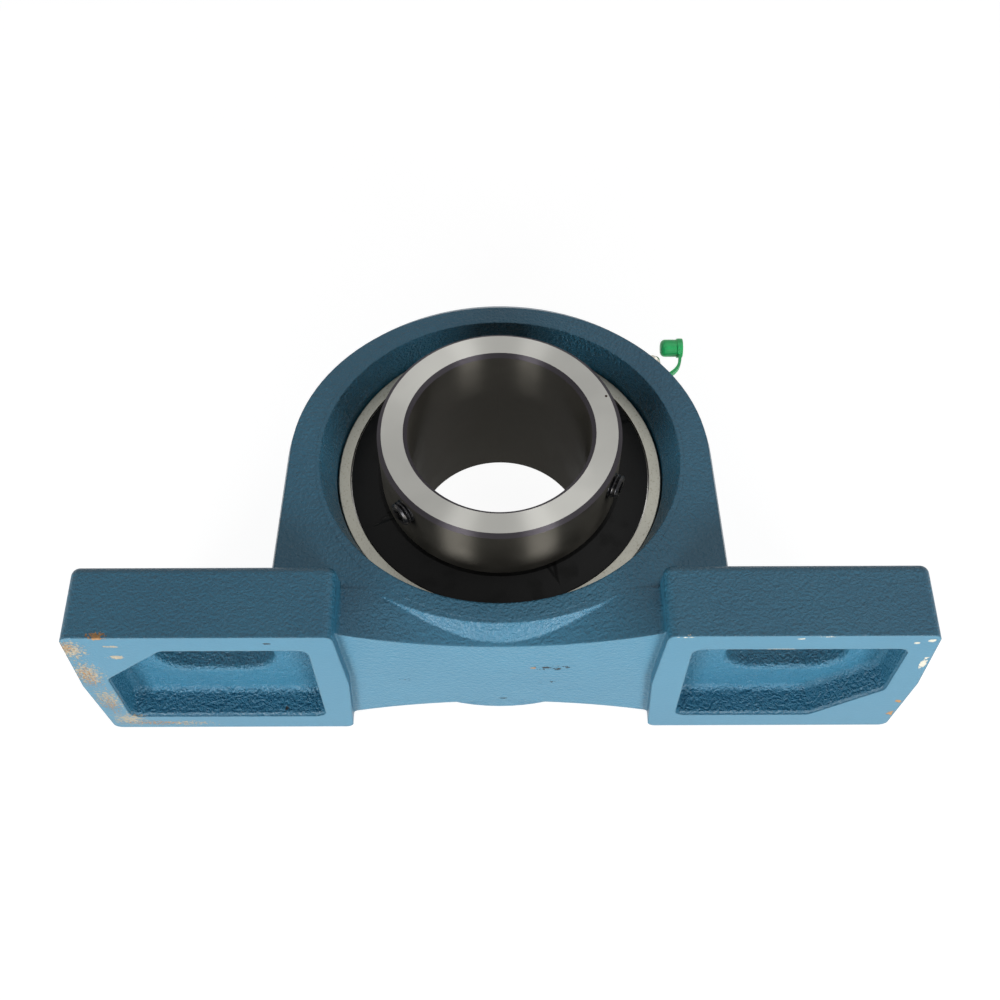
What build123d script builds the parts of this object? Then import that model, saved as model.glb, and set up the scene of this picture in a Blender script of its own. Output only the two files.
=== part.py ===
from build123d import *
import os
from math import atan2, cos, hypot, radians, sin, sqrt, tan

os.makedirs("parts", exist_ok=True)

# Pillow block bearing unit. X runs along the base, Y along the shaft, Z up from the mounting plane.
# The origin is the middle of the base, the collar with its set screws faces -Y. Millimetres.

# Mounting
axis_height = 88.9
base_length = 332.6
base_width = 88.0
foot_height = 33.0
pad_gap = 120.6
bolt_spacing = 231.0
slot_width = 27.0
slot_length = 48.0
slot_edge_break = 2.2

# Foot casting
foot_draft = 3.0
foot_edge_radius = 3.5
pocket_depth = 13.0
pocket_wall = 11.5
pocket_inner_rib = 12.5
pocket_corner_radius = 4.5
pocket_corner_cut = 26.0
pocket_roof_radius = 3.0
pocket_draft = 2.0

# Web between the feet
web_clearance = 4.5
web_waist = {"front": 25.75, "rear": 27.5}
web_root = {"front": 37.5, "rear": 37.9}
web_corner_radius = 3.2
web_top_corner_radius = 1.5
web_top_bow = 1.8
web_proud = 0.6
web_root_sink = 0.1

# Bearing ring of the housing, drafted away from the parting plane at Y = 0
ring_half_width = 89.1
ring_half_height = 84.5
ring_draft = 1.5
ring_front = 32.0
ring_back = 36.5
ring_bevel_depth = 7.0
ring_bevel_height = 6.6
ring_bevel_side = 2.0
ring_back_edge = 1.5
flank_flare = 2.5
flank_root_radius = 5.0
flank_root = 25.0
blend_sink = 0.3
mouth_radius = 68.5
mouth_flare_radius = 74.4
mouth_flare_depth = 12.0
mouth_front_fillet = 1.2
mouth_back_fillet = 4.0
seat_clearance = 0.05
loading_slot_depth = 0.35
loading_slot_play = 0.35

# Insert bearing
bore_diameter = 74.612
outer_diameter = 139.9
outer_width = 34.9
inner_front = 49.3
inner_back = 33.3
collar_diameter = 98.8
ball_diameter = 19.05
ball_count = 10
pitch_diameter = 110.0
groove_conformity = 0.52
ball_play = 0.02
outer_land_radius = 60.6
face_chamfer = 1.7
face_chamfer_depth = 1.4
bore_chamfer = 1.6
back_bore_chamfer = 0.9
back_collar_chamfer = 0.8
outer_ring_edge = 0.5
grease_groove_start = -3.6
grease_groove_end = 11.6
grease_groove_depth = 0.8
grease_hole_offset = 10.0
grease_hole_radius = 1.2

# Seals and slingers
seal_seat_radius = 62.9
seal_seat_depth = 5.25
seal_play = 0.02
seal_sheet = 0.8
seal_flange = 2.2
seal_window_radius = 53.2
lip_thickness = 1.5
lip_overlap = 1.6
lip_gap = 0.06
slinger_gap = 0.6
slinger_rim = 2.0
slinger_rise = 3.4
slinger_sheet = 1.2
slinger_sleeve = 1.6

# Cage
cage_sheet = 1.1
cage_width = 7.4
cage_ball_play = 0.15
rivet_radius = 1.15
rivet_head_radius = 2.0
rivet_head_height = 0.7
rivet_play = 0.02

# Set screws
screw_angles = {"left": -138.8, "right": -25.0}
screw_offset = 41.2
screw_radius = 5.0
screw_play = 0.04
screw_length = 12.0
screw_proud = 3.6
screw_socket = 5.0
screw_socket_depth = 4.0
screw_point_chamfer = 1.2
screw_end_chamfer = 0.7
thread_pitch = 1.5
thread_depth = 0.75
thread_land = 0.35
thread_count = 6

# Grease nipple and its cap
nipple_angle = 45.0
nipple_seat_height = 86.2
nipple_seat_radius = 8.0
nipple_hex = 11.0
nipple_hex_height = 5.0
nipple_shank_radius = 4.8
nipple_hole_cover = 3.4
nipple_shank_gap = 1.0
nipple_play = 0.02
nipple_neck_radius = 3.0
nipple_neck_height = 5.6
nipple_waist_radius = 2.3
nipple_waist_rise = 1.4
nipple_head_radius = 3.25
nipple_head_rise = 1.8
nipple_head_height = 1.6
nipple_tip_radius = 1.8
nipple_tip_rise = 1.4
nipple_bore_radius = 1.5
nipple_spring_floor = 0.3
nipple_mouth_radius = 0.9
nipple_feed_radius = 1.0
check_ball_radius = 1.4
check_ball_play = 0.03
check_ball_travel = 0.6
spring_wire_radius = 0.18
spring_coil_radius = 1.1
spring_turns = 4
feed_hole_radius = 2.5
cap_ring_width = 2.4
cap_ring_height = 1.5
cap_ring_play = 0.05
cap_ring_lift = 0.3
cap_radius = 4.0
cap_length = 10.2
cap_wall = 1.0
cap_lip = 0.5
cap_lip_length = 2.8
cap_end_radius = 2.2
cap_hollow_end_radius = 1.4
cap_lip_radius = 0.4
cap_reach = 14.4
cap_rise = 13.9
strap_width = 2.6
strap_thickness = 1.3
strap_belly_reach = 13.4
strap_belly_drop = 0.9

# Places that follow from the sizes above
shaft_axis = Axis((0, 0, axis_height), (0, 1, 0))
section_plane = Plane(origin=(0, 0, axis_height), x_dir=(0, 1, 0), z_dir=(1, 0, 0))
bolt_x = bolt_spacing / 2
foot_inner_x = pad_gap / 2
foot_outer_x = base_length / 2
foot_middle_x = (foot_inner_x + foot_outer_x) / 2
foot_run = foot_outer_x - foot_inner_x
outer_radius = outer_diameter / 2
seat_radius = outer_radius + seat_clearance
collar_radius = collar_diameter / 2
bore_radius = bore_diameter / 2
ball_radius = ball_diameter / 2
pitch_radius = pitch_diameter / 2
groove_radius = groove_conformity * ball_diameter
outer_groove_centre = pitch_radius + ball_radius + ball_play - groove_radius
inner_groove_centre = pitch_radius - ball_radius - ball_play + groove_radius
outer_half_width = outer_width / 2
seal_shoulder = outer_half_width - seal_seat_depth
seal_radius = seal_seat_radius - seal_play
slinger_back = seal_shoulder + seal_flange + slinger_gap
slinger_edge = slinger_back + slinger_rim
slinger_radius = seal_seat_radius - slinger_gap
slinger_end = slinger_edge + slinger_rise
cage_inner = pitch_radius - cage_width / 2
cage_outer = pitch_radius + cage_width / 2
cage_hollow = ball_radius + cage_ball_play
rivet_turn = 180 / ball_count
wheel_plane = Plane(origin=(0, 0, axis_height), x_dir=(1, 0, 0), z_dir=(0, -1, 0))
shaft_centre = Vector(0, 0, axis_height)
ends = {"front": -1, "rear": 1}


def radial_direction(angle):
    """Direction out of the shaft axis at an angle above +X."""
    return Vector(cos(radians(angle)), 0, sin(radians(angle)))


def across(angle, radius, offset=0):
    """Plane across a direction out of the shaft axis, at a radius and an offset along the shaft."""
    out = radial_direction(angle)
    return Plane(origin=shaft_centre + out * radius + Vector(0, offset, 0), x_dir=(0, 1, 0), z_dir=out)


def beside(angle, offset=0):
    """Plane through a direction out of the shaft axis: its first axis is the radius, its second runs with Y."""
    out = radial_direction(angle)
    return Plane(origin=shaft_centre + Vector(0, offset, 0), x_dir=out, z_dir=out.cross(Vector(0, 1, 0)))


def drafted(size, distance, angle):
    """Size of a drafted form at a distance from the parting plane."""
    return size - distance * tan(radians(angle))


# Housing casting: two feet, each a drafted block with rounded edges, open below as a pocket
foot_parts = []
for side in (-1, 1):
    with BuildPart() as foot:
        with BuildSketch(Plane.XZ) as foot_face:
            with Locations((side * foot_middle_x, 0)):
                Rectangle(foot_run, 2 * foot_height)
        extrude(amount=base_width / 2, both=True, taper=foot_draft)
        split(bisect_by=Plane.XY, keep=Keep.TOP)
        above = foot.edges().filter_by(lambda edge: edge.center().Z > 1)
        along = above.filter_by(lambda edge: abs(edge.tangent_at(0.5).Y) > 0.9)
        around = above.filter_by(lambda edge: abs(edge.center().Y) > base_width / 2 - 0.01)
        fillet(along + around, foot_edge_radius)
        pocket_inner = foot_inner_x + pocket_inner_rib
        pocket_outer = foot_outer_x - pocket_wall
        pocket_half = base_width / 2 - pocket_wall
        cut = pocket_corner_cut
        with BuildSketch(Plane.XY) as pocket_mouth:
            with BuildLine():
                Polyline(
                    (side * pocket_inner, -side * pocket_half),
                    (side * pocket_outer, -side * pocket_half),
                    (side * pocket_outer, side * (pocket_half - cut)),
                    (side * (pocket_outer - cut), side * pocket_half),
                    (side * pocket_inner, side * pocket_half),
                    close=True,
                )
            make_face()
            fillet(pocket_mouth.vertices(), pocket_corner_radius)
        extrude(amount=pocket_depth, taper=pocket_draft, mode=Mode.SUBTRACT)
        pocket_roof = foot.faces().filter_by(Axis.Z).sort_by(lambda f: abs(f.center().Z - pocket_depth))[0]
        fillet(pocket_roof.outer_wire().edges(), pocket_roof_radius)
    foot_parts.append(foot.part)

# Housing casting: bearing ring on its flanks, lofted from back to front through drafted outlines
flare = radians(flank_flare)
bevel_start = ring_front - ring_bevel_depth
back_edge_start = ring_back - ring_back_edge


def ring_outline(station, side_inset, height_inset):
    """Outline of ring and flanks at a distance in front of the parting plane, given insets inside the largest."""
    half_width = ring_half_width - side_inset
    half_height = ring_half_height - height_inset
    touch = atan2(half_height * tan(flare), half_width)
    touch_x = half_width * cos(touch)
    touch_z = axis_height + half_height * sin(touch)
    floor = drafted(foot_height, abs(station), foot_draft) - blend_sink
    foot_x = touch_x + (touch_z - floor) * tan(flare)
    with BuildSketch(Plane.XZ.offset(station)) as outline:
        with BuildLine():
            Polyline(
                (0, flank_root),
                (foot_middle_x, flank_root),
                (foot_middle_x, floor),
                (foot_x, floor),
                (touch_x, touch_z),
                (0, touch_z),
                close=True,
            )
        make_face()
        fillet(outline.vertices().sort_by_distance((foot_x, floor, 0))[0], flank_root_radius)
        mirror(about=Plane.YZ)
        with Locations((0, axis_height)):
            Ellipse(half_width, half_height)
    return outline.sketch.faces()[0]


back_inset = ring_back * tan(radians(ring_draft)) + ring_back_edge
back_edge_inset = back_edge_start * tan(radians(ring_draft))
bevel_inset = bevel_start * tan(radians(ring_draft))
ring_stations = (
    (-ring_back, back_inset, back_inset),
    (-back_edge_start, back_edge_inset, back_edge_inset),
    (0, 0, 0),
    (bevel_start, bevel_inset, bevel_inset),
    (ring_front, bevel_inset + ring_bevel_side, bevel_inset + ring_bevel_height),
)
with BuildPart() as ring:
    loft(sections=[ring_outline(*station) for station in ring_stations], ruled=True)

# Housing casting: web between the feet, waisted at its lower edge and flush with ring and flanks at its top
web_wall = foot_inner_x + drafted(0, -max(web_root.values()), foot_draft) + web_root_sink
web_end = web_wall + foot_edge_radius


def web_outline(height, waist, root, corner_radius):
    """Outline of the web at a height, with hollow corners where it meets the feet."""
    with BuildSketch(Plane.XY.offset(height)) as outline:
        with BuildLine():
            ThreePointArc((-web_wall, -root["front"]), (0, -waist["front"]), (web_wall, -root["front"]))
            Line((web_wall, -root["front"]), (web_wall, root["rear"]))
            ThreePointArc((web_wall, root["rear"]), (0, waist["rear"]), (-web_wall, root["rear"]))
            Line((-web_wall, root["rear"]), (-web_wall, -root["front"]))
        make_face()
        for side in (-1, 1):
            with Locations((side * (web_wall + web_end) / 2, 0)):
                Rectangle(web_end - web_wall, 2 * (max(web_root.values()) + web_corner_radius))
        corners = outline.vertices().filter_by(lambda v: abs(abs(v.X) - web_wall) < 0.01)
        fillet(corners.filter_by(lambda v: abs(v.Y) < max(root.values()) + 0.01), corner_radius)
    return outline.sketch.faces()[0]


web_top_root = {"front": ring_front + web_proud, "rear": ring_back + web_proud}
web_top_waist = {end: root - web_top_bow for end, root in web_top_root.items()}
with BuildPart() as web:
    web_foot = web_outline(web_clearance, web_waist, web_root, web_corner_radius)
    web_head = web_outline(flank_root + foot_edge_radius / 2, web_top_waist, web_top_root, web_top_corner_radius)
    loft(sections=[web_foot, web_head], ruled=True)

# The raw casting is one piece; mouth, seat, loading slots, grease groove and nipple seat are cut in it
nipple_hole_radius = nipple_shank_radius + nipple_play
nipple_hole_floor = seat_radius + grease_groove_depth + nipple_hole_cover
with BuildPart() as housing:
    add(foot_parts)
    add(web.part)
    add(ring.part)
    with BuildSketch(Plane.XZ.offset(ring_front)) as mouth:
        with Locations((0, axis_height)):
            Circle(mouth_radius)
    extrude(amount=-(ring_front + ring_back), mode=Mode.SUBTRACT)
    with BuildSketch(section_plane) as mouth_flare:
        with BuildLine():
            Polyline(
                (-ring_front, 0),
                (-ring_front, mouth_flare_radius),
                (-ring_front + mouth_flare_depth, mouth_radius),
                (-ring_front + mouth_flare_depth, 0),
                close=True,
            )
        make_face()
    revolve(axis=shaft_axis, mode=Mode.SUBTRACT)
    circles = housing.edges().filter_by(GeomType.CIRCLE)
    fillet(circles.filter_by(lambda edge: abs(edge.radius - mouth_flare_radius) < 0.01), mouth_front_fillet)
    mouth_edges = circles.filter_by(lambda edge: abs(edge.radius - mouth_radius) < 0.01)
    fillet(mouth_edges.sort_by(Axis.Y)[-1], mouth_back_fillet)
    with BuildSketch(section_plane) as seat_zone:
        Circle(seat_radius)
        with Locations((0, seat_radius)):
            Rectangle(outer_width + 2 * loading_slot_play, seat_radius, mode=Mode.INTERSECT)
    revolve(axis=shaft_axis, mode=Mode.SUBTRACT)
    with BuildSketch(Plane.XZ) as loading_slot:
        with Locations((0, axis_height)):
            Circle(seat_radius + loading_slot_depth)
            Rectangle(3 * seat_radius, outer_width + 2 * loading_slot_play, mode=Mode.INTERSECT)
    extrude(amount=-(ring_back + 1), mode=Mode.SUBTRACT)
    with BuildSketch(Plane.XY) as bolt_slots:
        with Locations((-bolt_x, 0), (bolt_x, 0)):
            SlotOverall(slot_length, slot_width)
    extrude(amount=foot_height + flank_root_radius, mode=Mode.SUBTRACT)
    roof_edges = housing.edges().filter_by(lambda edge: abs(edge.center().Z - pocket_depth) < 0.01)
    slot_edges = roof_edges.filter_by(lambda edge: abs(abs(edge.center().X) - bolt_x) < slot_length / 2 + 0.01)
    fillet(slot_edges.filter_by(lambda edge: abs(edge.center().Y) < slot_width / 2 + 0.01), slot_edge_break)
    with BuildSketch(section_plane) as grease_groove:
        Circle(seat_radius + grease_groove_depth)
        groove_width = grease_groove_end - grease_groove_start
        with Locations((grease_groove_start + groove_width / 2, seat_radius)):
            Rectangle(groove_width, seat_radius - outer_land_radius, mode=Mode.INTERSECT)
    revolve(axis=shaft_axis, mode=Mode.SUBTRACT)
    with BuildSketch(across(nipple_angle, nipple_seat_height)) as nipple_seat:
        Circle(nipple_seat_radius)
    extrude(amount=nipple_seat_radius, mode=Mode.SUBTRACT)
    with BuildSketch(across(nipple_angle, nipple_hole_floor)) as nipple_hole:
        Circle(nipple_hole_radius)
    extrude(amount=nipple_seat_height - nipple_hole_floor + 1, mode=Mode.SUBTRACT)
    with BuildSketch(across(nipple_angle, mouth_radius)) as feed_hole:
        Circle(feed_hole_radius)
    extrude(amount=nipple_hole_floor - mouth_radius, mode=Mode.SUBTRACT)

housing.part.label = "housing"
export_step(housing.part, "parts/housing.step")

# Outer ring: spherical outside, ball groove inside, a stepped seat for a seal at each end, two grease holes
with BuildPart() as outer_ring:
    with BuildSketch(section_plane) as outer_section:
        Circle(outer_radius)
        with Locations((0, outer_land_radius)):
            Rectangle(outer_width, outer_radius, align=(Align.CENTER, Align.MIN), mode=Mode.INTERSECT)
        with Locations((0, outer_groove_centre)):
            Circle(groove_radius, mode=Mode.SUBTRACT)
        seat_middle = seal_shoulder + seal_seat_depth / 2
        with Locations((-seat_middle, outer_land_radius), (seat_middle, outer_land_radius)):
            Rectangle(seal_seat_depth, 2 * (seal_seat_radius - outer_land_radius), mode=Mode.SUBTRACT)
        fillet(outer_section.vertices().filter_by(lambda v: v.Y > seal_seat_radius + 1), outer_ring_edge)
    revolve(axis=shaft_axis)
    for angle in (nipple_angle, nipple_angle + 180):
        with BuildSketch(across(angle, outer_land_radius - 1, grease_hole_offset)) as grease_hole:
            Circle(grease_hole_radius)
        extrude(amount=outer_radius - outer_land_radius + 2, mode=Mode.SUBTRACT)
outer_ring.part.label = "outer_ring"
export_step(outer_ring.part, "parts/outer_ring.step")

# Inner ring: bore for the shaft, ball groove, long collar at the front with two screw holes
with BuildPart() as inner_ring:
    with BuildSketch(section_plane) as inner_section:
        with BuildLine():
            Polyline(
                (-inner_front, bore_radius + bore_chamfer),
                (-inner_front, collar_radius - face_chamfer),
                (-inner_front + face_chamfer_depth, collar_radius),
                (inner_back - back_collar_chamfer, collar_radius),
                (inner_back, collar_radius - back_collar_chamfer),
                (inner_back, bore_radius + back_bore_chamfer),
                (inner_back - back_bore_chamfer, bore_radius),
                (-inner_front + bore_chamfer, bore_radius),
                close=True,
            )
        make_face()
        with Locations((0, inner_groove_centre)):
            Circle(groove_radius, mode=Mode.SUBTRACT)
    revolve(axis=shaft_axis)
    for angle in screw_angles.values():
        with BuildSketch(across(angle, bore_radius - 1, -screw_offset)) as screw_hole:
            Circle(screw_radius + screw_play)
        extrude(amount=collar_radius - bore_radius + 2, mode=Mode.SUBTRACT)
inner_ring.part.label = "inner_ring"
export_step(inner_ring.part, "parts/inner_ring.step")

# Balls in their grooves
for number in range(ball_count):
    with BuildPart(wheel_plane) as ball:
        with PolarLocations(pitch_radius, 1, start_angle=number * 360 / ball_count):
            Sphere(ball_radius)
    ball.part.label = f"ball_{number + 1:02d}"
    export_step(ball.part, f"parts/ball_{number + 1:02d}.step")

# Cage: two pressed rings with a pocket over each ball, riveted together between the balls
for end, side in ends.items():
    with BuildPart(wheel_plane) as cage:
        with PolarLocations(pitch_radius, ball_count):
            Sphere(cage_hollow + cage_sheet)
        with BuildSketch(wheel_plane) as cage_ring:
            Circle(cage_outer)
        extrude(amount=cage_sheet, both=True)
        with BuildSketch(wheel_plane) as cage_band:
            Circle(cage_outer)
            Circle(cage_inner, mode=Mode.SUBTRACT)
        extrude(amount=-side * outer_half_width, mode=Mode.INTERSECT)
        with PolarLocations(pitch_radius, ball_count):
            Sphere(cage_hollow, mode=Mode.SUBTRACT)
        with BuildSketch(wheel_plane) as rivet_holes:
            with PolarLocations(pitch_radius, ball_count, start_angle=rivet_turn):
                Circle(rivet_radius + rivet_play)
        extrude(amount=-side * 2 * cage_sheet, mode=Mode.SUBTRACT)
    cage.part.label = f"cage_{end}"
    export_step(cage.part, f"parts/cage_{end}.step")

with BuildPart() as cage_rivets:
    with BuildSketch(wheel_plane) as rivet_shanks:
        with PolarLocations(pitch_radius, ball_count, start_angle=rivet_turn):
            Circle(rivet_radius)
    extrude(amount=cage_sheet + rivet_head_height, both=True)
    for side in (-1, 1):
        with BuildSketch(wheel_plane.offset(side * cage_sheet)) as rivet_heads:
            with PolarLocations(pitch_radius, ball_count, start_angle=rivet_turn):
                Circle(rivet_head_radius)
        extrude(amount=side * rivet_head_height)
cage_rivets.part.label = "cage_rivets"
export_step(cage_rivets.part, "parts/cage_rivets.step")

# Seals, one at each end: a pressed plate in the outer ring, a rubber lip on it and a slinger on the inner ring
for end, side in ends.items():
    with BuildPart() as seal_plate:
        with BuildSketch(section_plane) as plate_section:
            with BuildLine():
                Polyline(
                    (side * seal_shoulder, seal_window_radius),
                    (side * seal_shoulder, seal_radius),
                    (side * (seal_shoulder + seal_flange), seal_radius),
                    (side * (seal_shoulder + seal_flange), seal_radius - seal_sheet),
                    (side * (seal_shoulder + seal_sheet), seal_radius - seal_sheet),
                    (side * (seal_shoulder + seal_sheet), seal_window_radius),
                    close=True,
                )
            make_face()
        revolve(axis=shaft_axis)
    seal_plate.part.label = f"seal_plate_{end}"
    export_step(seal_plate.part, f"parts/seal_plate_{end}.step")

    with BuildPart() as seal_lip:
        lip_start = seal_shoulder + seal_sheet
        lip_inner = collar_radius + lip_gap
        with BuildSketch(section_plane) as lip_section:
            with BuildLine():
                Polyline(
                    (side * lip_start, seal_window_radius + lip_overlap),
                    (side * lip_start, seal_window_radius - lip_overlap),
                    (side * (lip_start + lip_thickness / 2), lip_inner),
                    (side * (lip_start + lip_thickness), lip_inner),
                    (side * (lip_start + lip_thickness), seal_window_radius + lip_overlap),
                    close=True,
                )
            make_face()
        revolve(axis=shaft_axis)
    seal_lip.part.label = f"seal_lip_{end}"
    export_step(seal_lip.part, f"parts/seal_lip_{end}.step")

    with BuildPart() as slinger:
        sleeve_radius = collar_radius + slinger_sleeve
        with BuildSketch(section_plane) as slinger_section:
            with BuildLine():
                Polyline(
                    (side * slinger_back, collar_radius),
                    (side * slinger_end, collar_radius),
                    (side * slinger_end, sleeve_radius),
                    (side * slinger_edge, slinger_radius),
                    (side * slinger_back, slinger_radius),
                    (side * slinger_back, slinger_radius - slinger_sheet),
                    (side * (slinger_edge - slinger_sheet), slinger_radius - slinger_sheet),
                    (side * (slinger_end - slinger_sheet), sleeve_radius),
                    (side * slinger_back, sleeve_radius),
                    close=True,
                )
            make_face()
        revolve(axis=shaft_axis)
    slinger.part.label = f"slinger_{end}"
    export_step(slinger.part, f"parts/slinger_{end}.step")

# Set screws standing a little proud of the collar: thread rings, a hexagon socket and a chamfered point
screw_end = collar_radius + screw_proud
for name, angle in screw_angles.items():
    screw_foot = shaft_centre + Vector(0, -screw_offset, 0)
    with BuildPart() as set_screw:
        with BuildSketch(across(angle, screw_end - screw_length, -screw_offset)) as screw_point:
            Circle(screw_radius)
        extrude(amount=screw_length)
        chamfer(set_screw.faces().sort_by_distance(screw_foot)[0].edges(), screw_point_chamfer)
        chamfer(set_screw.faces().sort_by_distance(screw_foot)[-1].edges(), screw_end_chamfer)
        with BuildSketch(beside(angle, -screw_offset)) as threads:
            for turn in range(thread_count):
                root = screw_end - (turn + 1) * thread_pitch
                with BuildLine():
                    Polyline(
                        (root - (thread_pitch - thread_land) / 2, screw_radius),
                        (root, screw_radius - thread_depth),
                        (root + (thread_pitch - thread_land) / 2, screw_radius),
                        close=True,
                    )
                make_face()
        revolve(axis=Axis(screw_foot, radial_direction(angle)), mode=Mode.SUBTRACT)
        with BuildSketch(across(angle, screw_end, -screw_offset)) as socket:
            RegularPolygon(screw_socket / 2, 6, major_radius=False)
        extrude(amount=-screw_socket_depth, mode=Mode.SUBTRACT)
    set_screw.part.label = f"set_screw_{name}"
    export_step(set_screw.part, f"parts/set_screw_{name}.step")

# Grease nipple: screwed shank, hexagon, neck and ball-shaped head round a stepped bore
nipple_axis = Axis(shaft_centre, radial_direction(nipple_angle))
nipple_shank_end = nipple_hole_floor + nipple_shank_gap
hex_top = nipple_seat_height + nipple_hex_height
neck_top = hex_top + nipple_neck_height
head_start = neck_top + nipple_waist_rise + nipple_head_rise
head_end = head_start + nipple_head_height
nipple_end = head_end + nipple_tip_rise
spring_floor = hex_top + nipple_spring_floor
with BuildPart() as nipple:
    with BuildSketch(beside(nipple_angle)) as nipple_section:
        with BuildLine():
            Polyline(
                (nipple_shank_end, 0),
                (nipple_shank_end, nipple_shank_radius),
                (nipple_seat_height, nipple_shank_radius),
                (hex_top, nipple_neck_radius),
                (neck_top, nipple_neck_radius),
                (neck_top + nipple_waist_rise, nipple_waist_radius),
                (head_start, nipple_head_radius),
                (head_end, nipple_head_radius),
                (nipple_end, nipple_tip_radius),
                (nipple_end, 0),
                close=True,
            )
        make_face()
    revolve(axis=nipple_axis)
    with BuildSketch(across(nipple_angle, nipple_seat_height)) as nipple_hexagon:
        RegularPolygon(nipple_hex / 2, 6, major_radius=False)
    extrude(amount=nipple_hex_height)
    with BuildSketch(across(nipple_angle, nipple_shank_end)) as nipple_feed:
        Circle(nipple_feed_radius)
    extrude(amount=neck_top - nipple_shank_end, mode=Mode.SUBTRACT)
    with BuildSketch(across(nipple_angle, spring_floor)) as nipple_bore:
        Circle(nipple_bore_radius)
    extrude(amount=head_end - spring_floor, mode=Mode.SUBTRACT)
    with BuildSketch(across(nipple_angle, head_end - 1)) as nipple_mouth:
        Circle(nipple_mouth_radius)
    extrude(amount=nipple_tip_rise + 2, mode=Mode.SUBTRACT)
nipple.part.label = "grease_nipple"
export_step(nipple.part, "parts/grease_nipple.step")

# Check ball behind the mouth of the nipple, and the spring below it
ball_reach = sqrt((check_ball_radius + check_ball_play) ** 2 - nipple_mouth_radius**2)
check_ball_height = head_end - ball_reach
with BuildPart() as check_ball:
    with Locations(across(nipple_angle, check_ball_height)):
        Sphere(check_ball_radius)
check_ball.part.label = "nipple_check_ball"
export_step(check_ball.part, "parts/nipple_check_ball.step")

spring_start = spring_floor + spring_wire_radius
spring_top = check_ball_height - check_ball_radius - check_ball_travel - 2 * spring_wire_radius
with BuildPart() as spring:
    with BuildLine() as coil:
        Helix(
            pitch=(spring_top - spring_start) / spring_turns,
            height=spring_top - spring_start,
            radius=spring_coil_radius,
            center=shaft_centre + radial_direction(nipple_angle) * spring_start,
            direction=radial_direction(nipple_angle),
        )
    with BuildSketch(coil.line ^ 0) as wire:
        Circle(spring_wire_radius)
    sweep()
spring.part.label = "nipple_spring"
export_step(spring.part, "parts/nipple_spring.step")

# Grease cap: a ring round the neck of the nipple, a bent strap and a cup that hangs in front of the head
cap_ring_start = hex_top + cap_ring_lift
ring_middle = shaft_centre + radial_direction(nipple_angle) * (cap_ring_start + cap_ring_height / 2)
strap_way = radial_direction(nipple_angle - 90)
strap_start = ring_middle + strap_way * (nipple_neck_radius + cap_ring_play + cap_ring_width / 2)
cup_centre = ring_middle + Vector(cap_reach, 0, cap_rise)
cup_back = cup_centre.X - cap_length / 2
cup_face = cup_centre.X + cap_length / 2
lip_radius = cap_radius + cap_lip
with BuildPart() as cap:
    with BuildSketch(across(nipple_angle, cap_ring_start)) as cap_ring:
        Circle(nipple_neck_radius + cap_ring_play + cap_ring_width)
        Circle(nipple_neck_radius + cap_ring_play, mode=Mode.SUBTRACT)
    extrude(amount=cap_ring_height)
    with BuildSketch(Plane.XZ) as strap_band:
        with BuildLine() as strap_line:
            Spline(
                (strap_start.X, strap_start.Z),
                (ring_middle.X + strap_belly_reach, ring_middle.Z - strap_belly_drop),
                (cup_face - cap_lip_length / 2, cup_centre.Z - lip_radius + cap_wall / 2),
                tangents=((strap_way.X, strap_way.Z), (0, 1)),
            )
        trace(line_width=strap_thickness)
    extrude(amount=strap_width / 2, both=True)
    with BuildSketch(Plane.XZ) as cup_section:
        with BuildLine():
            Polyline(
                (cup_back, cup_centre.Z),
                (cup_back, cup_centre.Z + cap_radius),
                (cup_face - cap_lip_length, cup_centre.Z + cap_radius),
                (cup_face - cap_lip_length, cup_centre.Z + lip_radius),
                (cup_face, cup_centre.Z + lip_radius),
                (cup_face, cup_centre.Z + cap_radius - cap_wall),
                (cup_back + cap_wall, cup_centre.Z + cap_radius - cap_wall),
                (cup_back + cap_wall, cup_centre.Z),
                close=True,
            )
        make_face()
        cup_corner = (cup_back, cup_centre.Z + cap_radius, 0)
        hollow_corner = (cup_back + cap_wall, cup_centre.Z + cap_radius - cap_wall, 0)
        fillet(cup_section.vertices().sort_by_distance(cup_corner)[0], cap_end_radius)
        fillet(cup_section.vertices().sort_by_distance(hollow_corner)[0], cap_hollow_end_radius)
        lip_corners = cup_section.vertices().filter_by(lambda v: v.Y > cup_centre.Z + lip_radius - 0.01)
        fillet(lip_corners, cap_lip_radius)
    revolve(axis=Axis(cup_centre, (1, 0, 0)))
    with BuildSketch(Plane.YZ.offset(cup_face - cap_lip_length)) as cup_mouth:
        with Locations((0, cup_centre.Z)):
            Circle(cap_radius - cap_wall)
    extrude(amount=cap_lip_length, mode=Mode.SUBTRACT)
cap.part.label = "grease_cap"
export_step(cap.part, "parts/grease_cap.step")
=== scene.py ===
import math

import bpy
from mathutils import Matrix, Vector


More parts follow.
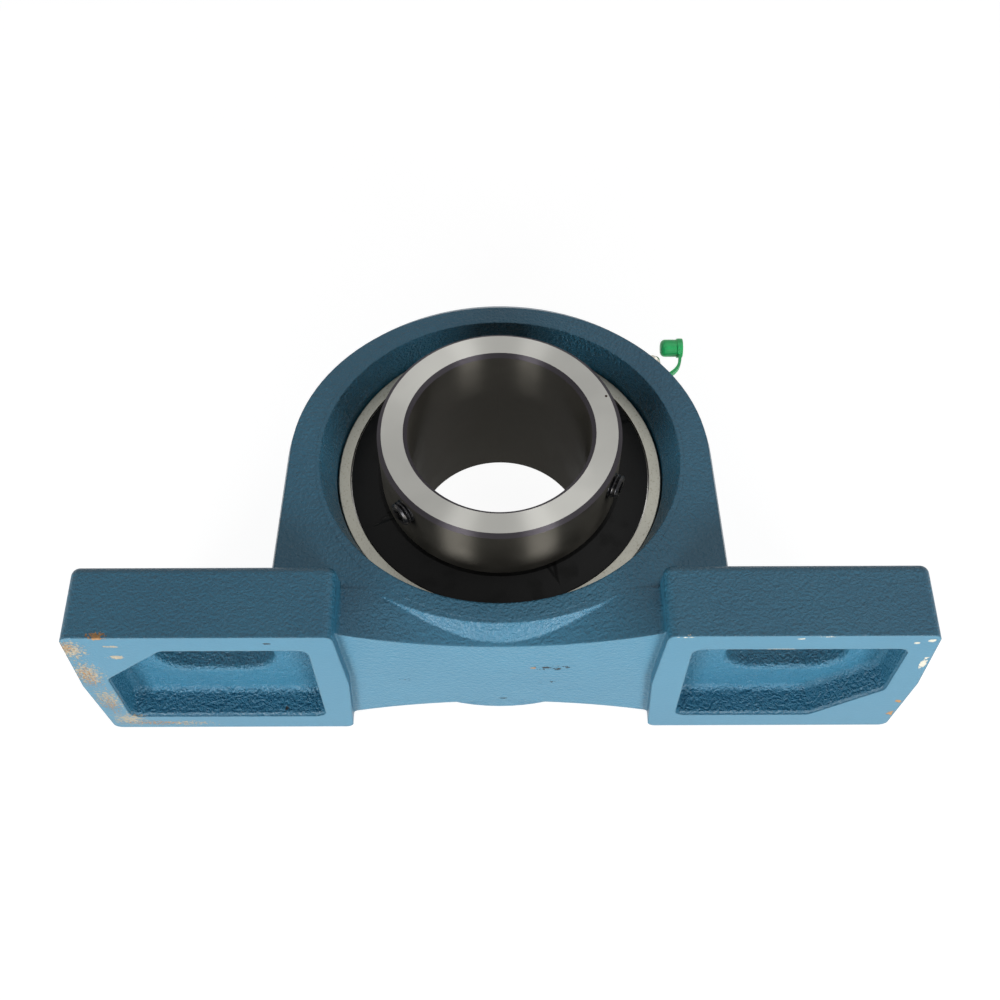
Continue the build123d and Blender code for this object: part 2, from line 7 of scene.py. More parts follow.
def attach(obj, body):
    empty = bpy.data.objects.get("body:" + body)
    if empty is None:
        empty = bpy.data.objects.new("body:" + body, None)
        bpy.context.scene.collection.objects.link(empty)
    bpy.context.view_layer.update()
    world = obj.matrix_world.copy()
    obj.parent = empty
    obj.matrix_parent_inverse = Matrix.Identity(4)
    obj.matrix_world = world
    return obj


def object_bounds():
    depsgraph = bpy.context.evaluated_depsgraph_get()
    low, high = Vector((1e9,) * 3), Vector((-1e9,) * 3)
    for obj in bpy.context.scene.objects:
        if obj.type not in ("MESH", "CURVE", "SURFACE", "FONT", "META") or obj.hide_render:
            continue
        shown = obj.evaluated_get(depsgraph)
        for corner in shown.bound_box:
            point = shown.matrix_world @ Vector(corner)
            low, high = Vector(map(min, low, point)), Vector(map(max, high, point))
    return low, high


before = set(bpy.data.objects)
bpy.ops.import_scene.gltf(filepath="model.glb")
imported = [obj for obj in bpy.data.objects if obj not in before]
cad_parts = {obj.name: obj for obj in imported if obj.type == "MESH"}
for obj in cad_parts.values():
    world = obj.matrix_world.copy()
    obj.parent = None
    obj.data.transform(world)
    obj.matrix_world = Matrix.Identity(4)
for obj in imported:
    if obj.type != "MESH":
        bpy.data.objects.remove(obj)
cad_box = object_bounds()


# Housing: one grey iron casting from a sand mould, with two feet, a web and the bearing ring.
# It is dipped in blue-grey enamel. The undersides of the feet are ground flat before that, and
# the paint is scraped down to primer and iron on the outer margin of the left foot.
def finish_for(finish_name, *part_names):
    """A new material on the named parts. Returns its node tree and its shader."""
    finish = bpy.data.materials.new(finish_name)
    finish.use_nodes = True
    for part_name in part_names:
        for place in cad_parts[part_name].material_slots:
            place.material = finish
    return finish.node_tree, finish.node_tree.nodes["Principled BSDF"]


def effect(effect_name, inputs, outputs):
    """A new node group, with its inputs given as name: (kind, start value).

    Returns its tree, its input node and its output node.
    """
    tree = bpy.data.node_groups.new(effect_name, "ShaderNodeTree")
    for socket_name, (kind, start) in inputs.items():
        socket = tree.interface.new_socket(
            socket_name, in_out="INPUT", socket_type="NodeSocket" + kind
        )
        socket.default_value = start
    for socket_name, kind in outputs.items():
        tree.interface.new_socket(socket_name, in_out="OUTPUT", socket_type="NodeSocket" + kind)
    return tree, tree.nodes.new("NodeGroupInput"), tree.nodes.new("NodeGroupOutput")


def apply_effect(tree, group, **values):
    """Place a node group in a material, with its inputs set by name; spaces are underscores."""
    node = tree.nodes.new("ShaderNodeGroup")
    node.node_tree = group
    for socket_name, value in values.items():
        node.inputs[socket_name.replace("_", " ")].default_value = value
    return node.outputs


def part_place(tree, output="Object"):
    """Coordinates on the part itself, in metres, or its own normal."""
    return tree.nodes.new("ShaderNodeTexCoord").outputs[output]


def mottle(tree, place, per_metre, detail=3.0, roughness=0.5):
    """Soft random pattern between 0 and 1, with so many features to the metre."""
    texture = tree.nodes.new("ShaderNodeTexNoise")
    texture.inputs["Scale"].default_value = per_metre
    texture.inputs["Detail"].default_value = detail
    texture.inputs["Roughness"].default_value = roughness
    tree.links.new(place, texture.inputs["Vector"])
    return texture.outputs["Fac"]


def ease(tree, value, low, high, to_low=0.0, to_high=1.0):
    """The value between low and high, eased to the range to_low to to_high."""
    node = tree.nodes.new("ShaderNodeMapRange")
    node.interpolation_type = "SMOOTHSTEP"
    limits = {"From Min": low, "From Max": high, "To Min": to_low, "To Max": to_high}
    for socket_name, limit in limits.items():
        node.inputs[socket_name].default_value = limit
    tree.links.new(value, node.inputs["Value"])
    return node.outputs["Result"]


def within(tree, value, edge, fade):
    """1 up to the edge and 0 beyond it, with a fade between them."""
    return ease(tree, value, edge + fade, edge)


def reckon(tree, operation, *operands):
    """One step of arithmetic; each operand is a socket or a number."""
    node = tree.nodes.new("ShaderNodeMath")
    node.operation = operation
    for socket, operand in zip(node.inputs, operands):
        if isinstance(operand, (int, float)):
            socket.default_value = operand
        else:
            tree.links.new(operand, socket)
    return node.outputs["Value"]


def all_of(tree, first, *others):
    """1 only where all the shares are 1."""
    for other in others:
        first = reckon(tree, "MULTIPLY", first, other)
    return first


def blend_paint(tree, share, under, over):
    """Mix of two colours, each a socket or a colour, by the share of the second."""
    node = tree.nodes.new("ShaderNodeMix")
    node.data_type = "RGBA"
    tree.links.new(share, node.inputs["Factor"])
    for socket, colour in ((node.inputs[6], under), (node.inputs[7], over)):
        if isinstance(colour, tuple):
            socket.default_value = (*colour, 1)
        else:
            tree.links.new(colour, socket)
    return node.outputs[2]


def relief(tree, height, depth, smooth=None):
    """Normal of a surface that rises by depth metres for each 1 of height.

    It is laid over the smooth normal, if one is given.
    """
    node = tree.nodes.new("ShaderNodeBump")
    node.inputs["Distance"].default_value = depth
    tree.links.new(height, node.inputs["Height"])
    if smooth is not None:
        tree.links.new(smooth, node.inputs["Normal"])
    return node.outputs["Normal"]


def vector_step(tree, operation, *operands):
    """One step of arithmetic on vectors; each operand is a socket."""
    node = tree.nodes.new("ShaderNodeVectorMath")
    node.operation = operation
    for socket, operand in zip(node.inputs, operands):
        tree.links.new(operand, socket)
    return node.outputs["Value" if operation == "LENGTH" else "Vector"]


def parts_of(tree, vector):
    """The X, Y and Z of a vector."""
    node = tree.nodes.new("ShaderNodeSeparateXYZ")
    tree.links.new(vector, node.inputs["Vector"])
    return node.outputs["X"], node.outputs["Y"], node.outputs["Z"]


# Skin of a sand casting, seen through its paint: the grain of the sand, small craters and a
# slow waviness. Tint is the slow change of the paint's tone, Fleck its thin spots on the grain.
cast_skin, skin_in, skin_out = effect(
    "Cast skin",
    {"Grain": ("Float", 1.0), "Craters": ("Float", 1.0), "Waves": ("Float", 1.0)},
    {"Height": "Float", "Tint": "Float", "Fleck": "Float"},
)
sand_per_metre = 820
lumps_per_metre = 400
craters_per_metre = 130
waves_per_metre = 60
tints_per_metre = 22
skin_place = part_place(cast_skin)
sand = mottle(cast_skin, skin_place, sand_per_metre, 2.0, 0.6)
lumps = mottle(cast_skin, skin_place, lumps_per_metre, 2.0)
grain = reckon(cast_skin, "MULTIPLY_ADD", lumps, 0.4, sand)
grain = reckon(cast_skin, "MULTIPLY", grain, skin_in.outputs["Grain"])
cells = cast_skin.nodes.new("ShaderNodeTexVoronoi")
cells.inputs["Scale"].default_value = craters_per_metre
cast_skin.links.new(skin_place, cells.inputs["Vector"])
craters = ease(cast_skin, cells.outputs["Distance"], 0.0, 0.22)
craters = reckon(cast_skin, "MULTIPLY", craters, skin_in.outputs["Craters"])
waves = mottle(cast_skin, skin_place, waves_per_metre, 2.0)
waves = reckon(cast_skin, "MULTIPLY", waves, skin_in.outputs["Waves"])
skin_height = reckon(cast_skin, "ADD", reckon(cast_skin, "ADD", grain, craters), waves)
tint = ease(cast_skin, mottle(cast_skin, skin_place, tints_per_metre, 4.0), 0.3, 0.7)
fleck = ease(cast_skin, sand, 0.62, 0.74)
for socket_name, value in (("Height", skin_height), ("Tint", tint), ("Fleck", fleck)):
    cast_skin.links.new(value, skin_out.inputs[socket_name])

# Worn patch: a ragged area of the paint that is scraped or chipped away, round a place on the
# part, with a half size along each axis. Breakup sets how fine its ragged edge is.
worn_patch, patch_in, patch_out = effect(
    "Worn patch",
    {
        "Centre": ("Vector", (0, 0, 0)),
        "Half size": ("Vector", (0.01, 0.01, 0.01)),
        "Breakup": ("Float", 400.0),
        "Cover": ("Float", 0.6),
    },
    {"Mask": "Float"},
)
patch_place = part_place(worn_patch)
from_centre = vector_step(worn_patch, "SUBTRACT", patch_place, patch_in.outputs["Centre"])
in_half_sizes = vector_step(worn_patch, "DIVIDE", from_centre, patch_in.outputs["Half size"])
out_from_centre = vector_step(worn_patch, "LENGTH", in_half_sizes)
ragged = mottle(worn_patch, patch_place, 1.0, 4.0, 0.65)
worn_patch.links.new(patch_in.outputs["Breakup"], ragged.node.inputs["Scale"])
patch_fade = ease(worn_patch, out_from_centre, 1.0, 0.0)
patch_share = reckon(worn_patch, "MULTIPLY_ADD", patch_fade, patch_in.outputs["Cover"], ragged)
patch_edge = ease(worn_patch, patch_share, 0.72, 0.78)
inside_patch = ease(worn_patch, out_from_centre, 1.0, 0.9)
patch_mask = reckon(worn_patch, "MULTIPLY", patch_edge, inside_patch)
worn_patch.links.new(patch_mask, patch_out.inputs["Mask"])

tree, shader = finish_for("housing_enamel", "housing")
part_x, part_y, part_z = parts_of(tree, part_place(tree))
face_y, face_z = parts_of(tree, part_place(tree, "Normal"))[1:]
across = reckon(tree, "ABSOLUTE", part_x)

# The underside is smooth: ground on the pads, as cast but even below the web.
web_underside = 0.0050
underside = all_of(
    tree, ease(tree, face_z, -0.85, -0.95), within(tree, part_z, web_underside, 0.0012)
)
smoothing = ease(tree, part_z, 0.0010, 0.0030, -0.88, -0.35)
evenness = reckon(tree, "MULTIPLY_ADD", underside, smoothing, 1.0)

# Cores of coarser sand shape the wall of the mouth and the pockets and slots of the feet.
shaft_height = 0.0889
mouth_rim_radius = 0.0750
pocket_half_width = 0.0330
pocket_start = 0.0730
pocket_end = 0.1550
slot_top = 0.0300
core_coarseness = 1.1
above_shaft = reckon(tree, "SUBTRACT", part_z, shaft_height)
rise_squared = reckon(tree, "MULTIPLY", above_shaft, above_shaft)
from_shaft = reckon(tree, "SQRT", reckon(tree, "MULTIPLY_ADD", part_x, part_x, rise_squared))
in_mouth = all_of(
    tree, within(tree, from_shaft, mouth_rim_radius, 0.0010), ease(tree, face_y, -0.95, -0.80)
)
in_foot = all_of(
    tree,
    within(tree, reckon(tree, "ABSOLUTE", part_y), pocket_half_width, 0.0015),
    within(tree, part_z, slot_top, 0.0025),
    ease(tree, part_z, 0.0004, 0.0020),
    ease(tree, across, pocket_start - 0.0030, pocket_start),
    within(tree, across, pocket_end, 0.0025),
)
core_share = reckon(tree, "MAXIMUM", in_mouth, in_foot)
cored = reckon(tree, "MULTIPLY_ADD", core_share, core_coarseness, 1.0)
skin = apply_effect(tree, cast_skin, Grain=0.62, Craters=0.16, Waves=0.35)
roughcast = all_of(tree, skin["Height"], cored, evenness)

# Enamel, thin on the grain. Paler on the underside: partly ground paint, partly a painted sheen.
deep_enamel = (0.025, 0.132, 0.218)
light_enamel = (0.031, 0.150, 0.240)
thin_enamel = (0.10, 0.26, 0.36)
underside_enamel_and_sheen = (0.056, 0.180, 0.262)
enamel_roughness = 0.34
bare_roughness = 0.62
enamel = blend_paint(tree, skin["Tint"], deep_enamel, light_enamel)
thin_share = reckon(tree, "MULTIPLY", skin["Fleck"], 0.30)
enamel = blend_paint(tree, thin_share, enamel, thin_enamel)
# Painted sheen: the paler colour of the faces that look down stands in partly for the light from
# below.
underside_sheen_share = reckon(tree, "MULTIPLY", underside, 0.6)
enamel = blend_paint(tree, underside_sheen_share, enamel, underside_enamel_and_sheen)

# Scars of handling and dark pits, each with its middle, its half size, how fine its edge breaks
# up, and how much of it is bare or dark.
scraped_margin = [
    ((-0.1630, -0.0340, 0.0), (0.0150, 0.0170, 0.004), 780, 0.33),
    ((-0.1610, -0.0120, 0.0), (0.0130, 0.0240, 0.004), 800, 0.30),
    ((-0.1595, 0.0130, 0.0), (0.0130, 0.0240, 0.004), 820, 0.28),
    ((-0.1560, 0.0350, 0.0), (0.0160, 0.0150, 0.004), 800, 0.30),
    ((-0.1340, 0.0395, 0.0), (0.0340, 0.0065, 0.004), 900, 0.25),
    ((-0.1460, -0.0365, 0.0), (0.0075, 0.0016, 0.004), 520, 0.36),
    ((-0.1465, -0.0272, 0.0), (0.0085, 0.0034, 0.004), 480, 0.34),
]
chips_to_rust = [
    ((-0.1500, -0.0435, 0.0010), (0.0066, 0.0030, 0.0030), 700, 0.46),
    ((-0.1640, -0.0360, 0.0), (0.0110, 0.0120, 0.004), 1000, 0.26),
    ((-0.1620, -0.0090, 0.0), (0.0090, 0.0240, 0.004), 1000, 0.24),
    ((-0.1600, 0.0200, 0.0), (0.0090, 0.0240, 0.004), 1000, 0.22),
    ((-0.1460, 0.0390, 0.0), (0.0300, 0.0060, 0.004), 1000, 0.23),
    ((0.0129, -0.0059, 0.0045), (0.0020, 0.0012, 0.003), 700, 0.55),
    ((0.1630, 0.0182, 0.0), (0.0030, 0.0030, 0.004), 500, 0.42),
    ((0.1629, 0.0311, 0.0), (0.0040, 0.0040, 0.004), 500, 0.36),
]
chips_to_primer = [
    ((0.1559, -0.0377, 0.0), (0.0022, 0.0014, 0.003), 350, 0.62),
    ((0.1612, -0.0395, 0.0), (0.0026, 0.0022, 0.003), 350, 0.62),
    ((0.1632, -0.0190, 0.0), (0.0024, 0.0095, 0.003), 420, 0.50),
    ((0.1220, -0.0432, 0.0004), (0.0090, 0.0012, 0.001), 600, 0.44),
    ((0.1120, -0.0415, 0.0), (0.0030, 0.0010, 0.002), 600, 0.48),
    ((0.1061, -0.0326, 0.0), (0.0110, 0.0006, 0.002), 500, 0.50),
    ((0.0690, -0.0432, 0.0004), (0.0100, 0.0012, 0.001), 600, 0.42),
]
# Pits and nicks in the casting: the bump cuts them in, and their near-black colour is painted
# shade.
pits_with_painted_shade = [
    ((0.0200, -0.0060, 0.0045), (0.0170, 0.0045, 0.003), 520, 0.26),
    ((0.0190, 0.0082, 0.0045), (0.0120, 0.0028, 0.003), 600, 0.22),
    ((-0.0380, 0.0050, 0.0045), (0.0060, 0.0030, 0.003), 800, 0.20),
    ((0.0008, 0.0243, 0.0045), (0.0036, 0.0010, 0.002), 500, 0.44),
    ((-0.0875, -0.0388, 0.0), (0.0036, 0.0012, 0.002), 600, 0.46),
    ((-0.0897, 0.0320, 0.0035), (0.0016, 0.0030, 0.0018), 500, 0.60),
]
primer_over_iron = (0.31, 0.275, 0.205)
rust = (0.34, 0.185, 0.075)
primer = (0.52, 0.50, 0.42)
painted_pit_shade = (0.010, 0.016, 0.020)
scars = 0.0
for patches, colour, depth in (
    (scraped_margin, primer_over_iron, 0.10),
    (chips_to_rust, rust, 0.15),
    (chips_to_primer, primer, 0.12),
    (pits_with_painted_shade, painted_pit_shade, 0.30),
):
    bared = 0.0
    for centre, half_size, breakup, cover in patches:
        patch = apply_effect(
            tree, worn_patch, Centre=centre, Half_size=half_size, Breakup=breakup, Cover=cover
        )
        bared = reckon(tree, "MAXIMUM", bared, patch["Mask"])
    enamel = blend_paint(tree, bared, enamel, colour)
    scars = reckon(tree, "MULTIPLY_ADD", bared, depth, scars)
tree.links.new(enamel, shader.inputs["Base Color"])
enamel_to_bare = ease(tree, scars, 0.0, 0.1, enamel_roughness, bare_roughness)
tree.links.new(enamel_to_bare, shader.inputs["Roughness"])
shader.inputs["Specular IOR Level"].default_value = 0.40
soft_edges = tree.nodes.new("ShaderNodeBevel")
soft_edges.samples = 4
soft_edges.inputs["Radius"].default_value = 0.0011
casting_height = reckon(tree, "SUBTRACT", roughcast, scars)
casting_relief = relief(tree, casting_height, 0.001, soft_edges.outputs["Normal"])
tree.links.new(casting_relief, shader.inputs["Normal"])

# Lip of the mouth: the casting's rim in front is an oval, lower than it is wide, with a flared
# wall behind it down to the round seat. It lies on the housing's flare and wears its enamel.
casting_front = -0.0320
lip_front = casting_front - 0.00003
lip_floor = -0.0200
lip_half_width = 0.0742
lip_half_height = 0.0688
lip_seat_radius = 0.0684
lip_face_radius = 0.0760
lip_steps = 240
lip_rows = (
    (casting_front + 0.0003, lip_face_radius, lip_face_radius),
    (lip_front, lip_face_radius, lip_face_radius),
    (lip_front, lip_half_width, lip_half_height),
    (lip_floor, lip_seat_radius, lip_seat_radius),
    (lip_floor + 0.0004, lip_seat_radius + 0.0002, lip_seat_radius + 0.0002),
)
lip_points = [
    (half_width * math.cos(turn), y, shaft_height + half_height * math.sin(turn))
    for y, half_width, half_height in lip_rows
    for turn in (math.tau * step / lip_steps for step in range(lip_steps))
]
lip_faces = [
    (row + step, row + lip_steps + step, row + lip_steps + after, row + after)
    for row in range(0, (len(lip_rows) - 1) * lip_steps, lip_steps)
    for step, after in ((step, (step + 1) % lip_steps) for step in range(lip_steps))
]
lip_mesh = bpy.data.meshes.new("mouth_lip")
lip_mesh.from_pydata(lip_points, [], lip_faces)
lip_mesh.shade_smooth()
# The edges that run round the mouth are the casting's corners; the rest of the lip is smooth.
for edge in lip_mesh.edges:
    edge.use_edge_sharp = abs(edge.vertices[0] - edge.vertices[1]) in (1, lip_steps - 1)
lip_mesh.materials.append(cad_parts["housing"].material_slots[0].material)
lip = bpy.data.objects.new("mouth_lip", lip_mesh)
bpy.context.collection.objects.link(lip)
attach(lip, "housing")

# Outer ring: bearing steel, its end face ground flat and left bare inside the mouth.
# Ground and turned steel share the fine lines that run round the shaft.
lathe_lines, lathe_in, lathe_out = effect(
    "Lathe lines", {"Lines per metre": ("Float", 9000.0)}, {"Height": "Float", "Haze": "Float"}
)
lathe_place = part_place(lathe_lines)
lathe_x, lathe_y, lathe_z = parts_of(lathe_lines, lathe_place)
lathe_rise = reckon(lathe_lines, "SUBTRACT", lathe_z, shaft_height)
lathe_square = reckon(lathe_lines, "MULTIPLY", lathe_rise, lathe_rise)
lathe_square = reckon(lathe_lines, "MULTIPLY_ADD", lathe_x, lathe_x, lathe_square)
lathe_radius = reckon(lathe_lines, "SQRT", lathe_square)
line_place = lathe_lines.nodes.new("ShaderNodeCombineXYZ")
for socket_name, distance in (("X", lathe_radius), ("Y", lathe_y)):
    spread = reckon(lathe_lines, "MULTIPLY", distance, lathe_in.outputs["Lines per metre"])
    lathe_lines.links.new(spread, line_place.inputs[socket_name])
line_height = mottle(lathe_lines, line_place.outputs["Vector"], 1.0, 2.0)
lathe_lines.links.new(line_height, lathe_out.inputs["Height"])
lathe_haze = ease(lathe_lines, mottle(lathe_lines, lathe_place, 60), 0.3, 0.7)
lathe_lines.links.new(lathe_haze, lathe_out.inputs["Haze"])

tree, shader = finish_for("outer_ring_steel", "outer_ring")
dull_ring = (0.300, 0.295, 0.255)
bright_ring = (0.330, 0.325, 0.285)
ring_speck = (0.215, 0.205, 0.170)
lathe = apply_effect(tree, lathe_lines)
specks = ease(tree, mottle(tree, part_place(tree), 1300, 3.0), 0.56, 0.72)
ring_steel = blend_paint(tree, lathe["Haze"], dull_ring, bright_ring)
ring_steel = blend_paint(tree, specks, ring_steel, ring_speck)
tree.links.new(ring_steel, shader.inputs["Base Color"])
shader.inputs["Metallic"].default_value = 1.0
tree.links.new(ease(tree, lathe["Haze"], 0.0, 1.0, 0.40, 0.48), shader.inputs["Roughness"])
tree.links.new(relief(tree, lathe["Height"], 0.000006), shader.inputs["Normal"])

# Inner ring: bearing steel, browned dark by heat in the bore, on the collar and on the bevelled
# edges, with its end faces ground pale. The highlights stretch across the grinding lines.
tree, shader = finish_for("inner_ring_steel", "inner_ring")
brown_steel = (0.048, 0.045, 0.038)
light_brown_steel = (0.060, 0.056, 0.048)
ground_dull = (0.450, 0.446, 0.418)
ground_bright = (0.485, 0.481, 0.453)
burnt_edge = (0.058, 0.053, 0.060)
pit_rust = (0.05, 0.03, 0.025)
lathe = apply_effect(tree, lathe_lines)
endward = reckon(tree, "ABSOLUTE", parts_of(tree, part_place(tree, "Normal"))[1])
end_face = ease(tree, endward, 0.90, 0.98)
chamfer = reckon(tree, "SUBTRACT", ease(tree, endward, 0.2, 0.4), end_face)
browned = blend_paint(tree, lathe["Haze"], brown_steel, light_brown_steel)
ground_steel = blend_paint(tree, lathe["Haze"], ground_dull, ground_bright)
pit = apply_effect(
    tree,
    worn_patch,
    Centre=(0.0435, -0.0493, 0.1055),
    Half_size=(0.0008, 0.001, 0.0008),
    Cover=0.9,
)
steel = blend_paint(tree, end_face, browned, ground_steel)
steel = blend_paint(tree, chamfer, steel, burnt_edge)
steel = blend_paint(tree, pit["Mask"], steel, pit_rust)
tree.links.new(steel, shader.inputs["Base Color"])
shader.inputs["Metallic"].default_value = 1.0
tree.links.new(ease(tree, lathe["Haze"], 0.0, 1.0, 0.44, 0.50), shader.inputs["Roughness"])
tree.links.new(relief(tree, lathe["Height"], 0.000003), shader.inputs["Normal"])
grinding_marks = tree.nodes.new("ShaderNodeTangent")
grinding_marks.direction_type = "RADIAL"
grinding_marks.axis = "Y"
tree.links.new(grinding_marks.outputs["Tangent"], shader.inputs["Tangent"])
shader.inputs["Anisotropic"].default_value = 1.0
shader.inputs["Anisotropic Rotation"].default_value = 0.25


# Balls: ten in one row between the rings, of bearing steel lapped to a mirror with a very faint
# haze. The check ball in the grease nipple is a small one of the same steel.
def two_tones(tree, shader, drift, dark, light, smooth, rough):
    """Colour and roughness that drift together over the surface, each between two values."""
    tree.links.new(blend_paint(tree, drift, dark, light), shader.inputs["Base Color"])
    tree.links.new(ease(tree, drift, 0.3, 0.7, smooth, rough), shader.inputs["Roughness"])


ball_names = [f"ball_{number:02d}" for number in range(1, 11)]
tree, shader = finish_for("ball_steel", *ball_names, "nipple_check_ball")
haze = mottle(tree, part_place(tree), 250, 2.0)
two_tones(tree, shader, haze, (0.64, 0.63, 0.61), (0.70, 0.69, 0.67), 0.05, 0.10)
shader.inputs["Metallic"].default_value = 1.0

# Cage, seal plates and nipple spring: bright steel with an oily sheen. The cage is two pressed
# halves riveted together between the balls, and the plates are pressed into the outer ring.
tree, shader = finish_for(
    "pressed_steel",
    "seal_plate_front",
    "seal_plate_rear",
    "cage_front",
    "cage_rear",
    "cage_rivets",
    "nipple_spring",
)
streak = mottle(tree, part_place(tree), 180, 4.0)
two_tones(tree, shader, streak, (0.40, 0.39, 0.37), (0.52, 0.51, 0.49), 0.24, 0.38)
shader.inputs["Metallic"].default_value = 1.0

# Seal lips: matte black nitrile rubber, moulded on the inner edges of the seal plates, where
# they close the gap to the inner ring.
tree, shader = finish_for("seal_rubber", "seal_lip_front", "seal_lip_rear")
bloom = mottle(tree, part_place(tree), 300)
two_tones(tree, shader, bloom, (0.012, 0.012, 0.012), (0.024, 0.024, 0.024), 0.6, 0.75)

# Slingers: pressed discs on the inner ring, satin black. The front one has two small creases
# that run out from the collar and taper away.
tree, shader = finish_for("slinger_black", "slinger_front", "slinger_rear")
clean_black = (0.0050, 0.0050, 0.0048)
dusty_black = (0.0090, 0.0090, 0.0086)
crease_angles = (-153.0, -66.0)
crease_start = 0.048
crease_end = 0.062
crease_half_width = 0.0026
place = part_place(tree)
part_x, part_y, part_z = parts_of(tree, place)
above_shaft = reckon(tree, "SUBTRACT", part_z, shaft_height)
creases = 0.0
for crease_angle in crease_angles:
    out_x = math.cos(math.radians(crease_angle))
    out_z = math.sin(math.radians(crease_angle))
    along = reckon(tree, "MULTIPLY", part_x, out_x)
    along = reckon(tree, "MULTIPLY_ADD", above_shaft, out_z, along)
    aside = reckon(tree, "MULTIPLY", part_x, out_z)
    aside = reckon(tree, "MULTIPLY_ADD", above_shaft, -out_x, aside)
    half_width = ease(tree, along, crease_start, crease_end, crease_half_width, 0.0)
    inward = reckon(tree, "SUBTRACT", half_width, reckon(tree, "ABSOLUTE", aside))
    creases = reckon(tree, "MAXIMUM", creases, ease(tree, inward, 0.0, 0.0020))
creases = reckon(tree, "MULTIPLY", creases, ease(tree, part_y, 0.0, -0.001))
dust = ease(tree, mottle(tree, place, 140, 4.0), 0.45, 0.75)
tree.links.new(blend_paint(tree, dust, clean_black, dusty_black), shader.inputs["Base Color"])
tree.links.new(ease(tree, dust, 0.0, 1.0, 0.44, 0.56), shader.inputs["Roughness"])
shader.inputs["Specular IOR Level"].default_value = 0.13
pressed_in = reckon(tree, "MULTIPLY", creases, -1.8)
disc_height = reckon(tree, "MULTIPLY_ADD", mottle(tree, place, 900, 2.0), 0.06, pressed_in)
tree.links.new(relief(tree, disc_height, 0.0006), shader.inputs["Normal"])

# Set screws: two socket screws of hardened steel in the collar, that lock the ring to its shaft.
# They are black oxide, worn to brown-grey on the crests of the thread.
tree, shader = finish_for("screw_oxide", "set_screw_left", "set_screw_right")
black_oxide = (0.015, 0.015, 0.017)
worn_thread = (0.06, 0.056, 0.052)
wear = ease(tree, mottle(tree, part_place(tree), 500, 4.0), 0.5, 0.7)
tree.links.new(blend_paint(tree, wear, black_oxide, worn_thread), shader.inputs["Base Color"])
shader.inputs["Metallic"].default_value = 0.7
tree.links.new(ease(tree, wear, 0.0, 1.0, 0.28, 0.45), shader.inputs["Roughness"])

# Grease nipple: turned from steel and screwed into the shoulder of the housing, in bright zinc
# plating that is a little yellow.
tree, shader = finish_for("nipple_zinc", "grease_nipple")
plating = mottle(tree, part_place(tree), 400)
two_tones(tree, shader, plating, (0.50, 0.48, 0.42), (0.60, 0.58, 0.52), 0.22, 0.34)
shader.inputs["Metallic"].default_value = 1.0

# Grease cap: bright green plastic, semi-gloss, moulded in one piece with its strap and its ring.
# The ring sits round the nipple, and the cap is off and held by the strap.
tree, shader = finish_for("cap_green", "grease_cap")
place = part_place(tree)
flow = mottle(tree, place, 350, 2.0)
two_tones(tree, shader, flow, (0.022, 0.68, 0.180), (0.035, 0.78, 0.225), 0.30, 0.40)
tree.links.new(relief(tree, mottle(tree, place, 1500, 2.0), 0.00002), shader.inputs["Normal"])


# Studio: the block lies on its back on a white table, as when it was photographed, so the
# table is an upright plane just behind the rear of the feet, and clear when seen from behind.
# Table and room are white to the eye and in the metal, and the table keeps a faint shadow.
def seen_or_mirrored(tree):
    """1 for rays from the eye, from gloss and through glass, 0 for the rest."""
    rays = tree.nodes.new("ShaderNodeLightPath").outputs
    mirrored = reckon(tree, "MAXIMUM", rays["Is Glossy Ray"], rays["Is Transmission Ray"])
    return reckon(tree, "MAXIMUM", rays["Is Camera Ray"], mirrored)


table_width = 6
table_gap = 0.0006
table_whiteness = 0.75
table_face = (0, cad_box[1][1] + table_gap, 0)
upright = (math.radians(90), 0, 0)
bpy.ops.mesh.primitive_plane_add(size=table_width, location=table_face, rotation=upright)
table = bpy.context.object
table.name = "studio_table"
table_paint = bpy.data.materials.new("studio_table")
table_paint.use_nodes = True
tree = table_paint.node_tree
shader = tree.nodes["Principled BSDF"]
shader.inputs["Base Color"].default_value = (0.8, 0.8, 0.8, 1)
shader.inputs["Roughness"].default_value = 0.9
glow = tree.nodes.new("ShaderNodeEmission")
glow.inputs["Strength"].default_value = 1.25
seen = tree.nodes.new("ShaderNodeMixShader")
white_share = reckon(tree, "MULTIPLY", seen_or_mirrored(tree), table_whiteness)
tree.links.new(white_share, seen.inputs["Fac"])
tree.links.new(shader.outputs["BSDF"], seen.inputs[1])
tree.links.new(glow.outputs["Emission"], seen.inputs[2])
from_behind = tree.nodes.new("ShaderNodeMixShader")
side = tree.nodes.new("ShaderNodeNewGeometry")
clear = tree.nodes.new("ShaderNodeBsdfTransparent")
tree.links.new(side.outputs["Backfacing"], from_behind.inputs["Fac"])
tree.links.new(seen.outputs["Shader"], from_behind.inputs[1])
tree.links.new(clear.outputs["BSDF"], from_behind.inputs[2])
tree.links.new(from_behind.outputs["Shader"], tree.nodes["Material Output"].inputs["Surface"])
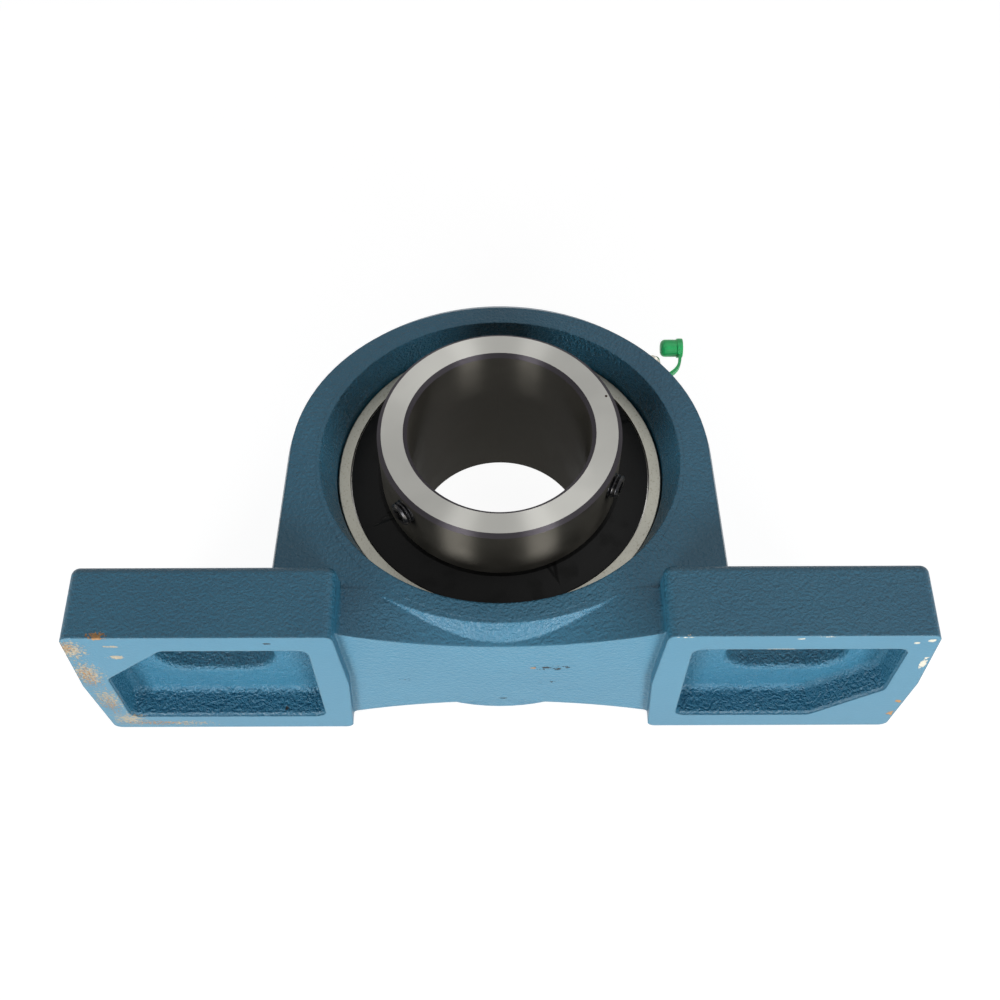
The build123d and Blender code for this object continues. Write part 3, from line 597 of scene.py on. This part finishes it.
table.data.materials.append(table_paint)

room_light = 0.10
room = bpy.data.worlds.new("studio_room")
bpy.context.scene.world = room
room.use_nodes = True
tree = room.node_tree
background = tree.nodes["Background"]
background.inputs["Color"].default_value = (1, 1, 1, 1)
brightness = ease(tree, seen_or_mirrored(tree), 0.0, 1.0, room_light, 1.0)
tree.links.new(brightness, background.inputs["Strength"])


# Lamps: two soft boxes low on the left and the right of the feet light the undersides most
# and draw the two bright bands in the bore; a weak wide one fills the fronts.
def soft_box(lamp_name, place, width, length, power):
    """A rectangular lamp at a place, turned to the bearing, its length along the shaft."""
    box = bpy.data.lights.new(lamp_name, "AREA")
    box.shape = "RECTANGLE"
    box.size = width
    box.size_y = length
    box.energy = power
    lamp = bpy.data.objects.new(lamp_name, box)
    aim = Vector((0, 0, shaft_height)) - Vector(place)
    across = aim.cross(Vector((0, 1, 0))).normalized()
    up = across.cross(aim).normalized()
    turn = Matrix((across, up, -aim.normalized())).transposed().to_4x4()
    lamp.matrix_world = Matrix.Translation(place) @ turn
    bpy.context.collection.objects.link(lamp)


for lamp_name, out_to_side in (("box_low_left", -0.52), ("box_low_right", 0.52)):
    soft_box(lamp_name, (out_to_side, -0.18, -0.80), width=0.38, length=0.46, power=8.8)
soft_box("box_front", (0.6, -1.5, 0.4), width=1.4, length=0.8, power=4)

# Camera: at the photograph's place, in front of the block and below its base, tilted up to look
# along the underside at the mouth.
camera_place = (0.00007, -0.49069, -0.21161)
camera_tilt = math.radians(121.2)
camera_roll = math.radians(-0.19)
camera_data = bpy.data.cameras.new("camera")
camera_data.lens = 47.84
camera_data.sensor_width = 36
camera_data.shift_y = 0.00089
camera_data.clip_start = 0.01
camera = bpy.data.objects.new("camera", camera_data)
bpy.context.collection.objects.link(camera)
turn = Matrix.Rotation(camera_tilt, 4, "X") @ Matrix.Rotation(camera_roll, 4, "Z")
camera.matrix_world = Matrix.Translation(camera_place) @ turn
bpy.context.scene.camera = camera
bpy.context.scene.view_settings.view_transform = "Standard"
